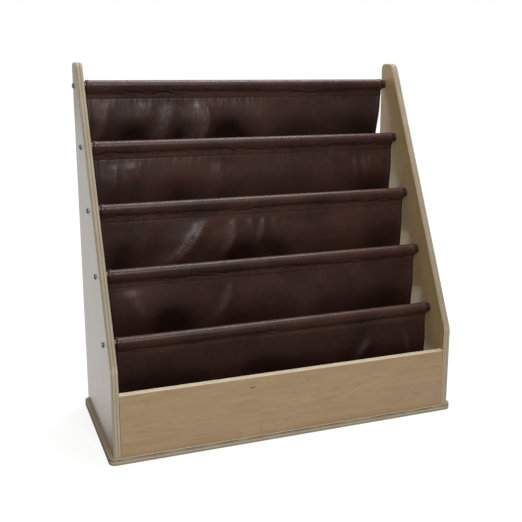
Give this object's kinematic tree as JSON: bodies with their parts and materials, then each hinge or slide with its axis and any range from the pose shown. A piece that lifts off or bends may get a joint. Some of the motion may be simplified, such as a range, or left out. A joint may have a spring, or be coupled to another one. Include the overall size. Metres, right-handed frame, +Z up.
{
  "type": "sling bookshelf",
  "caption": "Child's front-facing bookshelf: soft sling pockets hung on rods between two slanted plywood side panels, on a plywood base with a low front board.",
  "frame": {"origin": "middle of the base plate's underside", "axes": "+Z up, +X to the right as seen from the front, -Y towards the front, where the slings face"},
  "size_m": [0.78, 0.33, 0.774],
  "materials": {
    "birch_plywood": "birch plywood with a clear matt lacquer",
    "solid_beech": "plain sanded beech",
    "dark_painted_rod": "round wooden rod in glossy dark brown paint",
    "brown_faux_leather": "dark brown faux leather, satin, with a fine grain",
    "zinc_plated_steel": "zinc-plated screws"
  },
  "bodies": {
    "root": {"base": "birch_plywood", "base_screws": "zinc_plated_steel", "batten_screws": "zinc_plated_steel", "board_dowels": "solid_beech", "front_board": "birch_plywood", "rod_1": "dark_painted_rod", "rod_2": "dark_painted_rod", "rod_3": "dark_painted_rod", "rod_4": "dark_painted_rod", "rod_5": "dark_painted_rod", "rod_screws_left": "zinc_plated_steel", "rod_screws_right": "zinc_plated_steel", "side_panel_left": "birch_plywood", "side_panel_right": "birch_plywood", "sling_1": "brown_faux_leather", "sling_2": "brown_faux_leather", "sling_3": "brown_faux_leather", "sling_4": "brown_faux_leather", "sling_5": "brown_faux_leather", "sling_batten": "solid_beech"}
  },
  "joints": []
}
